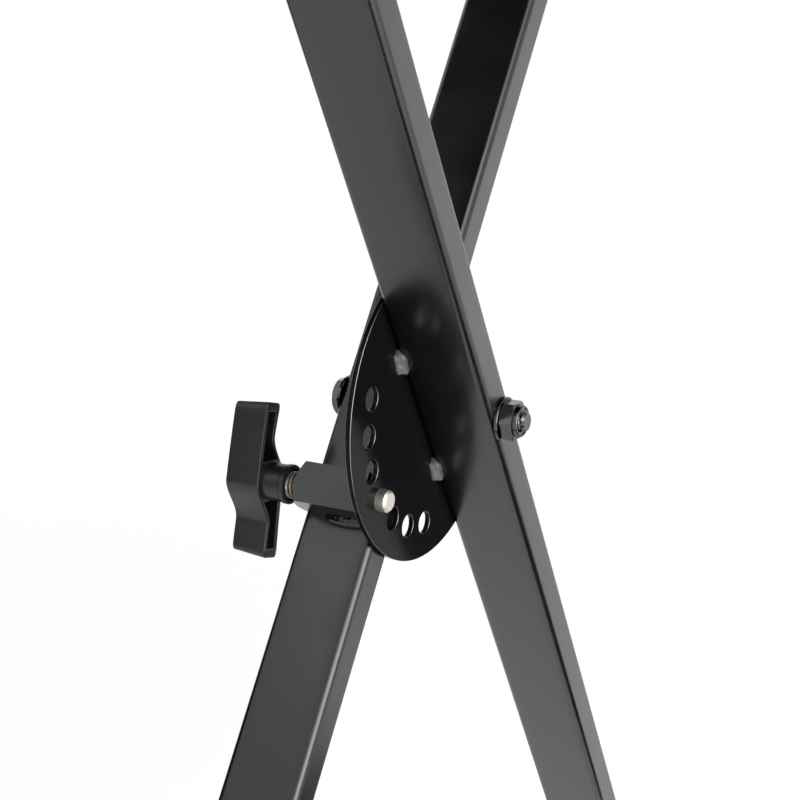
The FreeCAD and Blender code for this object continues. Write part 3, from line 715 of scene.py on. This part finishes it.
class STAND_OT_knob(bpy.types.Operator):
    """Models the knob from a grid: its outline, its bow, its pockets and its boss"""
    bl_idname = "stand.knob"
    bl_label = "Knob"
    COLUMNS = 5                                   # Two walls and the space between them
    CORNER_ROWS, ARM_ROWS, HUB_ROWS = 3, 14, 8    # Rows of the grid from an end of the knob to its middle

    def flank(self, lock, z):
        """The left flank of the knob at a height: straight above the hub, S-curved and flared below it."""
        half = lock.knob_length / 2
        hub, tip = lock.knob_hub / 2, lock.knob_tip / 2
        neck = lock.knob_neck
        into_corner = max(0, abs(z) - (half - lock.knob_round))
        corner = lock.knob_crown * (1 - sqrt(max(0, 1 - (into_corner / lock.knob_round) ** 2)))
        if z >= 0:
            return -hub + (hub - tip) * z / half + corner
        if -z < lock.knob_swell:
            share = -z / lock.knob_swell
            return -hub + (hub - neck) * share * share * (3 - 2 * share)
        return -neck - (tip - neck) * (-z - lock.knob_swell) / (half - lock.knob_swell) + corner

    def levels(self, lock, pocket):
        """The heights of the grid's rows, from the lower end to the upper one."""
        half = lock.knob_length / 2
        corner = [half - lock.knob_round * row / self.CORNER_ROWS for row in range(self.CORNER_ROWS)]
        reach = pocket[1] - pocket[0]
        arm = [pocket[1] - reach * row / self.ARM_ROWS for row in range(self.ARM_ROWS + 1)]
        hub = [pocket[0] * (1 - row / self.HUB_ROWS) for row in range(1, self.HUB_ROWS)]
        upper = corner + arm + hub
        return [-z for z in upper] + [0] + upper[::-1]

    def execute(self, context):
        lock = context.scene.stand_lock
        half = lock.knob_length / 2
        pocket = (lock.boss / 2 + 0.2 * MM, half - lock.knob_round)
        levels = self.levels(lock, pocket)
        knob, points = grid("t_knob_skin", self.COLUMNS, len(levels) - 1)
        bow_radius = (half ** 2 + lock.knob_bow ** 2) / (2 * lock.knob_bow)
        for vertex, share, row in points:
            column, z = round(share * self.COLUMNS), levels[row]
            left, right = self.flank(lock, z), -self.flank(lock, -z)
            inner = left + lock.wall + (right - left - 2 * lock.wall) * (column - 1) / (self.COLUMNS - 2)
            x = {0: left, self.COLUMNS: right}.get(column, inner)
            vertex.co = (x, lock.hub_start - bow_radius + sqrt(bow_radius ** 2 - z * z), z)
        self.deepen(knob, lock.knob_depth)
        tidy(knob)
        self.select_pockets(knob, lock, pocket)
        self.deepen(knob, lock.knob_depth - lock.wall, everything=False)
        for vertex in knob.data.vertices:
            share = (vertex.co.y - lock.hub_start) / lock.knob_depth
            vertex.co.z -= lock.knob_slant * vertex.co.x * (vertex.co.z / half) ** 2
            vertex.co.z *= 1 - share * lock.knob_draft / half
        break_edges(knob, lock.knob_edge, 3, 40)
        carve(knob, self.boss(lock), "UNION")
        shift(knob, Matrix.Translation(Vector((PIN.x, 0, PIN.z))) @ Matrix.Rotation(lock.tilt, 4, "Y"))
        give(knob, "t_knob", "black_moulded_plastic", "t_knob")
        return {"FINISHED"}

    def deepen(self, knob, depth, everything=True):
        """Extrudes the whole grid, or the selected faces, along Y."""
        pick(knob)
        mode("EDIT")
        if everything:
            bpy.ops.mesh.select_all(action="SELECT")
        bpy.ops.mesh.extrude_region_move(TRANSFORM_OT_translate={"value": (0, depth, 0)})
        mode("OBJECT")

    def select_pockets(self, knob, lock, pocket):
        """Selects the faces inside the walls of each arm, on the side of the legs."""
        pick(knob)
        mode("EDIT")
        bpy.ops.mesh.select_mode(type="FACE")
        bpy.ops.mesh.select_all(action="DESELECT")
        mode("OBJECT")
        for face in knob.data.polygons:
            x, _, z = face.center
            left, right = self.flank(lock, z) + lock.wall, -self.flank(lock, -z) - lock.wall
            face.select = face.normal.y < -0.5 and pocket[0] < abs(z) < pocket[1] and left < x < right

    def boss(self, lock):
        """The boss round the screw: a plain neck, and a thicker ring with a recess at its free end."""
        radius, rim, ring = lock.boss / 2, lock.boss_rim, lock.boss_ring
        neck = radius - 0.4 * MM
        start, end = lock.boss_start, lock.hub_start + lock.wall
        mouth, recess = lock.screw / 2 + lock.boss_mouth, start + lock.boss_recess
        rows = [(recess, 0), (recess, mouth), (start, mouth), (start, radius - rim),
                (start + 0.3 * rim, radius - 0.3 * rim), (start + rim, radius),
                (start + ring - rim, radius), (start + ring, neck), (end, neck), (end, 0)]
        return turned("boss", rows)


class STAND_OT_pivot(bpy.types.Operator):
    """Models the pivot bolt with its thread, the nut with its collar, the washers and the bushes"""
    bl_idname = "stand.pivot"
    bl_label = "Pivot"
    DOME_STEPS = 8     # Rows of points up the dome of the bolt's head
    DOME_TOP = 0.45    # Width of the flat on top of that dome, as a share of the head's
    NUT_TURN = 30      # Turn of the nut, in degrees
    HEAD_TURN = 31     # Turn of the head, in degrees: its corners miss the points of the dome
    DEPTH = 0.55       # Depth of the thread, as a share of its pitch
    COLLAR_STEPS = 4   # Rows of points round the rim of the nut's collar

    def hexagon(self, name, flats, start, end, turn, dome=0):
        """A hexagon along Y with its corners chamfered at both ends, or domed at its far end."""
        across = flats / sqrt(3)
        piece = drum(name, across, start, end, sides=6)
        shift(piece, Matrix.Rotation(radians(turn), 4, "Y"))
        chamfer = (across - flats / 2) * 0.6
        rows = [(start, 0), (start, flats / 2), (start + chamfer, across)]
        if dome:
            for step in range(self.DOME_STEPS + 1):
                angle = step / self.DOME_STEPS * pi / 2
                width = self.DOME_TOP + (1 - self.DOME_TOP) * cos(angle)
                rows.append((end - dome * (1 - sin(angle)), across * width))
        else:
            rows += [(end - chamfer, across), (end, flats / 2)]
        shape = turned("chamfer", rows + [(end, 0)])
        carve(piece, shape, "INTERSECT")
        break_edges(piece, bpy.context.scene.stand_pivot.hexagon_edge, 2, 12)
        return piece

    def ring(self, name, play, edge):
        """A washer or a bush with broken edges, where its node is, with play between its neighbours."""
        low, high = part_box(name)
        low.y, high.y = low.y + play, high.y - play
        radius = (high.x - low.x) / 2
        bore = bpy.context.scene.stand_pivot.bolt / 2 + play
        rows = [(low.y, bore), (low.y, radius - edge), (low.y + edge, radius), (high.y - edge, radius),
                (high.y, radius - edge), (high.y, bore), (low.y, bore)]
        return turned(f"{name}_skin", rows)

    def execute(self, context):
        pivot = context.scene.stand_pivot
        to_pivot = Matrix.Translation(PIVOT)
        nut_low, nut_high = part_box("pivot_nut")
        bolt_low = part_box("pivot_bolt")[0]
        head_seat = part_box("head_washer")[1].y
        collar_start = nut_low.y + pivot.collar_height
        radius = pivot.bolt / 2
        nut = self.hexagon("pivot_nut_skin", pivot.flats, collar_start, nut_high.y, self.NUT_TURN)
        collar_radius, round_off, overlap = pivot.collar / 2, pivot.collar_round, 0.5 * MM
        lip = radius + 0.7 * MM
        rows = [(nut_low.y + overlap, 0), (nut_low.y + overlap, lip), (nut_low.y, lip + 0.3 * MM)]
        for step in range(self.COLLAR_STEPS, -1, -1):
            angle = step / self.COLLAR_STEPS * pi / 2
            rows.append((nut_low.y + round_off * (1 - sin(angle)),
                         collar_radius - round_off * (1 - cos(angle))))
        rows += [(collar_start + overlap, collar_radius), (collar_start + overlap, 0)]
        collar = turned("collar", rows)
        carve(nut, collar, "UNION")
        shift(nut, to_pivot)
        give(nut, "front_leg", "black_plated_steel", "pivot_nut")
        thread_start, thread_end = bolt_low.y + pivot.point, nut_high.y
        rows = [(bolt_low.y, 0), (bolt_low.y, radius - pivot.point), (thread_start, radius)]
        rows += thread_rows(thread_start, thread_end, pivot.pitch, radius)
        rows += [(thread_end, radius), (head_seat, radius), (head_seat + MM, radius), (head_seat + MM, 0)]
        groove = (pivot.pitch, self.DEPTH * pivot.pitch, bolt_low.y + pivot.point / 2, thread_end - TOUCH)
        bolt = turned("pivot_bolt_skin", rows, groove)
        head_end = head_seat + pivot.head
        head = self.hexagon("head", pivot.flats, head_seat, head_end, self.HEAD_TURN, pivot.dome)
        carve(bolt, head, "UNION")
        shift(bolt, to_pivot)
        give(bolt, "front_leg", "black_plated_steel", "pivot_bolt")
        rings = (("nut_washer", "front_leg", "black_plated_steel", 0, pivot.edge),
                 ("head_washer", "front_leg", "black_plated_steel", 0, pivot.edge),
                 ("thrust_washer", "front_leg", "white_nylon", pivot.play, pivot.edge),
                 ("front_pivot_bush", "front_leg", "bright_plated_steel", 0, pivot.bush_chamfer),
                 ("rear_pivot_bush", "rear_leg", "bright_plated_steel", pivot.play, pivot.bush_chamfer))
        for name, body, slot_name, play, edge in rings:
            ring = self.ring(name, play, edge)
            shift(ring, to_pivot)
            give(ring, body, slot_name, name)
        return {"FINISHED"}


class STAND_OT_bars(bpy.types.Operator):
    """Models the foot bars and the arms as round-cornered bars, and the weld beads round the leg ends"""
    bl_idname = "stand.bars"
    bl_label = "Bars"
    BEAD_STEPS = 8   # Rows of points up a bead

    def execute(self, context):
        bars, legs = context.scene.stand_bars, context.scene.stand_legs
        for leg in LEGS:
            for kind in BAR_KINDS:
                node = f"{leg}_{kind}"
                bar = block(f"{node}_skin", *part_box(node))
                bevel_edges(bar, PIVOT_AXIS, bars.corner, 6)
                give(bar, f"{leg}_leg", "black_powder_coat", node)
            self.bead(bars, leg, "foot", LEAN_SIGN[leg] * tan(legs.lean))
            self.bead(bars, leg, "arm", -LEAN_SIGN[leg] * tan(legs.lean))
        return {"FINISHED"}

    def bead(self, bars, leg, end, slope):
        """The bead round one end of a leg: a rounded, rippled collar that follows the lean."""
        node = f"{leg}_{end}_weld"
        low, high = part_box(node)
        middle, half = (low + high) / 2, (high - low) / 2
        base, toe = (low.z, high.z) if end == "foot" else (high.z, low.z)
        steps = self.BEAD_STEPS
        bead, points = grid(f"{node}_skin", 3 * SIDES, steps + 2)
        for vertex, share, row in points:
            angle = min(max(row - 1, 0), steps) / steps * pi / 2
            inset = bars.bead_slope * (1 - cos(angle))
            rise = 2 * half.z * sin(angle)
            across, along = round_outline(share, half.x, half.y, bars.bead_round)
            wave = bars.bead_wave * (1 + sin(tau * (across + along) / bars.bead_ripple)) * cos(angle / 2)
            keep = 0 if row in (0, steps + 2) else 1   # The first and last rows close the ends
            vertex.co = (middle.x + slope * rise + keep * across * (1 - (inset + wave) / half.x),
                         middle.y + keep * along * (1 - (inset + wave) / half.y),
                         base + (toe - base) * sin(angle))
        tidy(bead)
        give(bead, f"{leg}_leg", "painted_weld", node)


class STAND_OT_caps(bpy.types.Operator):
    """Models the rubber caps on the bars and the pads on the arms, with their grip ribs"""
    bl_idname = "stand.caps"
    bl_label = "Caps and pads"

    def execute(self, context):
        for leg in LEGS:
            for kind in BAR_KINDS:
                for side in ("near", "far"):
                    self.cap(context.scene.stand_bars, leg, kind, side)
            for side in ("near", "far"):
                self.pad(context.scene.stand_bars, leg, side)
        return {"FINISHED"}

    def cap(self, bars, leg, kind, side):
        """One cap: a rounded sleeve over the bar end, with ribs, and a lip where its node has one."""
        node = f"{leg}_{kind}_{side}_cap"
        low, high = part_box(node)
        bar_low, bar_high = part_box(f"{leg}_{kind}")
        wall = bar_low.x - low.x
        top = bar_high.z + wall
        cap = block(f"{node}_skin", low, (high.x, high.y, top))
        bevel_edges(cap, PIVOT_AXIS, bars.cap_corner, 5)
        break_edges(cap, bars.cap_edge, 3, 40)
        outward = 1 if side == "far" else -1
        outer_end = high.y if side == "far" else low.y
        if high.z > top + TOUCH:
            inset = (high.x - low.x) / 2 - bars.lip_half
            lip_start, lip_end = sorted((outer_end, outer_end - outward * bars.lip_thick))
            lip = block("lip", (low.x + inset, lip_start, top - wall), (high.x - inset, lip_end, high.z))
            bevel_edges(lip, PIVOT_AXIS, bars.lip_round, 5)
            break_edges(lip, bars.cap_edge, 3, 40)
            carve(cap, lip, "UNION")
        inner_end = low.y if side == "far" else high.y
        grooves = []
        for index in range(bars.ribs):
            middle = inner_end + outward * (index + 1.5) * bars.rib
            ends = (middle - bars.rib / 4, middle + bars.rib / 4)
            grooves.append(self.groove(low, high, top, ends, bars.rib_depth))
        carve(cap, together(grooves))
        space = block("space", bar_low, bar_high)
        bevel_edges(space, PIVOT_AXIS, bars.corner, 6)
        carve(cap, space)
        give(cap, f"{leg}_leg", "black_rubber", node)

    def groove(self, low, high, top, ends, depth):
        """The space of one groove: a frame round the cap that bites into its sides."""
        ring = block("groove", (low.x - depth, ends[0], low.z - depth),
                     (high.x + depth, ends[1], top + depth))
        core = block("core", (low.x + depth, low.y - depth, low.z - 2 * depth),
                     (high.x - depth, high.y + depth, top + 2 * depth))
        carve(ring, core)
        return ring

    def pad(self, bars, leg, side):
        """One pad: a rounded strip with grooves across its top."""
        node = f"{leg}_rest_pad_{side}"
        low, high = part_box(node)
        pad = block(f"{node}_skin", low, high)
        bevel_edges(pad, UP, bars.pad_round, 6)
        break_edges(pad, bars.pad_edge, 3, 40)
        count = int((high.y - low.y) / bars.rib) - 3
        grooves = []
        for index in range(count):
            middle = (low.y + high.y) / 2 + (index - (count - 1) / 2) * bars.rib
            start = (low.x + bars.pad_margin, middle - bars.rib / 4, high.z - bars.rib_depth)
            end = (high.x - bars.pad_margin, middle + bars.rib / 4, high.z + bars.rib_depth)
            grooves.append(block("groove", start, end))
        carve(pad, together(grooves))
        give(pad, f"{leg}_leg", "black_rubber", node)


class STAND_OT_stage(bpy.types.Operator):
    """Sets the floor, the lights, the background and the camera"""
    bl_idname = "stand.stage"
    bl_label = "Stage"

    def execute(self, context):
        self.floor(context.scene.stand_colours.floor)
        # Places and sizes in metres, powers in watts
        self.lamp("Top_softbox", (-0.9, -1.4, 1.9), (1.2, 1.2), 16)
        self.lamp("Right_softbox", (-0.45, -1.2, 0.6), (0.8, 0.9), 14)
        self.lamp("Far_softbox", (1.5, -0.8, 0.35), (0.6, 0.6), 0.45)
        self.lamp("Left_softbox", (-0.95, 0.75, 1.45), (0.5, 0.5), 0.55)
        # Overhead it darkens faces that look up, on the floor the near corners, upright the far edges
        self.card("black_ceiling", (3.5, 3.5), (0, 0, 2.4))
        self.card("black_flag", (1, 0.32), (0, -0.36, 0.001))
        self.card("black_screen", (1.75, 0.9), (-0.625, 0.9, 0.3), pi / 2)
        self.background(context.scene)
        self.camera(context.scene)
        context.scene.view_settings.view_transform = "Standard"
        return {"FINISHED"}

    def floor(self, colour):
        """A pale floor: white to the camera and to mirrors where no shadow falls on it."""
        begin()
        bpy.ops.mesh.primitive_plane_add(size=40)
        piece = settle("studio_floor")
        made, tree = blank(bpy.data.materials, "Studio_floor_matt_paint")
        seen = self.seen_directly(tree)
        matt = wire(tree, "ShaderNodeBsdfDiffuse", {"Color": (*colour, 1)})
        place = wire(tree, "ShaderNodeTexCoord", {}).outputs["Object"]
        away = wire(tree, "ShaderNodeVectorMath", {0: place}, operation="LENGTH").outputs["Value"]
        # Less glow within 0.7 m of the stand, so that its shadow shows
        glow = wire(tree, "ShaderNodeMapRange", {"Value": away, "From Min": 0.7, "From Max": 2.5,
                                                 "To Min": 0.28, "To Max": 0.5})
        lift = wire(tree, "ShaderNodeEmission", {"Strength": glow.outputs["Result"]})
        both = wire(tree, "ShaderNodeAddShader", {0: matt.outputs[0], 1: lift.outputs[0]})
        shown = wire(tree, "ShaderNodeMixShader", {"Fac": seen, 1: matt.outputs[0], 2: both.outputs[0]})
        wire(tree, "ShaderNodeOutputMaterial", {"Surface": shown.outputs[0]})
        piece.data.materials.append(made)

    def seen_directly(self, tree):
        """1 for what the camera sees itself, in a mirror or through glass; 0 for light on things."""
        rays = wire(tree, "ShaderNodeLightPath", {})
        mirrored = wire(tree, "ShaderNodeMath", {0: rays.outputs["Is Glossy Ray"],
                                                 1: rays.outputs["Is Transmission Ray"]}, operation="ADD")
        return wire(tree, "ShaderNodeMath", {0: rays.outputs["Is Camera Ray"], 1: mirrored.outputs[0]},
                    operation="ADD", use_clamp=True).outputs[0]

    def lamp(self, name, place, size, power):
        """A softbox that points at the pivot."""
        data = bpy.data.lights.new(name, "AREA")
        data.shape = "RECTANGLE"
        data.size, data.size_y = size
        data.energy = power
        lamp = bpy.data.objects.new(name, data)
        bpy.context.collection.objects.link(lamp)
        lamp.location = place
        lamp.rotation_euler = (PIVOT - Vector(place)).to_track_quat("-Z", "Y").to_euler()
        lamp.visible_camera = False

    def card(self, name, size, place, tip=0):
        """A black card that only shows in mirrors, level or tipped about X."""
        begin()
        bpy.ops.mesh.primitive_plane_add(size=1, location=place)
        bpy.context.object.scale = (*size, 1)
        bpy.context.object.rotation_euler = (tip, 0, 0)
        card = settle(name)
        made, tree = blank(bpy.data.materials, "Studio_card_black_paper")
        paper = wire(tree, "ShaderNodeBsdfDiffuse", {"Color": (0.01, 0.01, 0.01, 1)})
        wire(tree, "ShaderNodeOutputMaterial", {"Surface": paper.outputs[0]})
        card.data.materials.append(made)
        card.visible_camera = False
        card.visible_diffuse = False
        card.visible_shadow = False

    def background(self, scene):
        """A white room to the camera and to mirrors, and a plain soft light to everything else."""
        scene.world, tree = blank(bpy.data.worlds, "Studio")
        seen = self.seen_directly(tree)
        soft = wire(tree, "ShaderNodeBackground", {"Color": (1, 1, 1, 1), "Strength": 0.6})
        white = wire(tree, "ShaderNodeBackground", {"Color": (1, 1, 1, 1), "Strength": 1})
        mixed = wire(tree, "ShaderNodeMixShader", {"Fac": seen, 1: soft.outputs[0], 2: white.outputs[0]})
        wire(tree, "ShaderNodeOutputWorld", {"Surface": mixed.outputs[0]})

    def camera(self, scene):
        """The view of the photo: a close look at the crossing of the legs from the knob's side."""
        azimuth, elevation, roll = radians(-61.902), radians(13.119), radians(1.237)
        back = Vector((sin(azimuth) * cos(elevation), -cos(azimuth) * cos(elevation), sin(elevation)))
        level = UP.cross(back).normalized()
        upward = back.cross(level)
        right = cos(roll) * level + sin(roll) * upward
        up = cos(roll) * upward - sin(roll) * level
        aim, distance = PIVOT + Vector((-4.277, 8.041, 2.589)) * MM, 579.864 * MM
        place = aim + back * distance
        data = bpy.data.cameras.new("Camera")
        data.lens = 71.917
        data.sensor_width = 36
        data.clip_start = 0.01
        camera = bpy.data.objects.new("Camera", data)
        bpy.context.collection.objects.link(camera)
        turn = Matrix((right, up, back)).transposed().to_4x4()
        camera.matrix_world = Matrix.Translation(place) @ turn
        scene.camera = camera


class STAND_PT_panel(bpy.types.Panel):
    """Sidebar with the stand's sizes and its building steps"""
    bl_idname = "STAND_PT_panel"
    bl_label = "Keyboard stand"
    bl_space_type = "VIEW_3D"
    bl_region_type = "UI"
    bl_category = "Stand"

    def draw(self, context):
        for step in STEPS:
            self.layout.operator(step.bl_idname)
        for name in GROUPS:
            group = getattr(context.scene, name)
            box = self.layout.box()
            for key in group.__annotations__:
                box.prop(group, key)


STEPS = (STAND_OT_finishes, STAND_OT_legs, STAND_OT_disc, STAND_OT_lock_sleeve, STAND_OT_lock_screw,
         STAND_OT_knob, STAND_OT_pivot, STAND_OT_bars, STAND_OT_caps, STAND_OT_stage)


def register():
    """Registers the property groups, the steps and the panel."""
    for name, group in GROUPS.items():
        bpy.utils.register_class(group)
        setattr(bpy.types.Scene, name, PointerProperty(type=group))
    for step in (*STEPS, STAND_PT_panel):
        bpy.utils.register_class(step)


def unregister():
    """Takes back what register did."""
    for step in reversed((*STEPS, STAND_PT_panel)):
        bpy.utils.unregister_class(step)
    for name, group in reversed(GROUPS.items()):
        delattr(bpy.types.Scene, name)
        bpy.utils.unregister_class(group)


def main():
    """Builds the stand step by step."""
    register()
    bpy.ops.stand.finishes()
    bpy.ops.stand.legs()
    bpy.ops.stand.disc()
    bpy.ops.stand.lock_sleeve()
    bpy.ops.stand.lock_screw()
    bpy.ops.stand.knob()
    bpy.ops.stand.pivot()
    bpy.ops.stand.bars()
    bpy.ops.stand.caps()
    bpy.ops.stand.stage()


if __name__ == "__main__":
    main()
